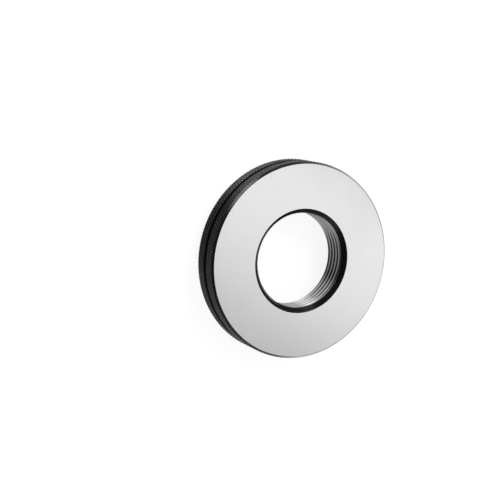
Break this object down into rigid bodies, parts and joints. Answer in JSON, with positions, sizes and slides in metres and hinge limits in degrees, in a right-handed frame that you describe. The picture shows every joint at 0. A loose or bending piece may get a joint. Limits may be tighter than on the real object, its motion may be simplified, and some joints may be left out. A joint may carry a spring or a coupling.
{
  "type": "thread ring gauge",
  "caption": "Not-go thread ring gauge: a flat steel disc with a threaded bore, a knurled rim and a narrow marking groove round the rim.",
  "frame": {"origin": "where the bore's axis meets the back face, on which the ring lies", "axes": "+Z along the bore's axis, from the back face to the front face; X and Y are across the disc and alike"},
  "size_m": [0.071, 0.071, 0.012],
  "materials": {
    "gauge_steel": "satin"
  },
  "bodies": {
    "root": {"ring_gauge": "gauge_steel"}
  },
  "joints": []
}
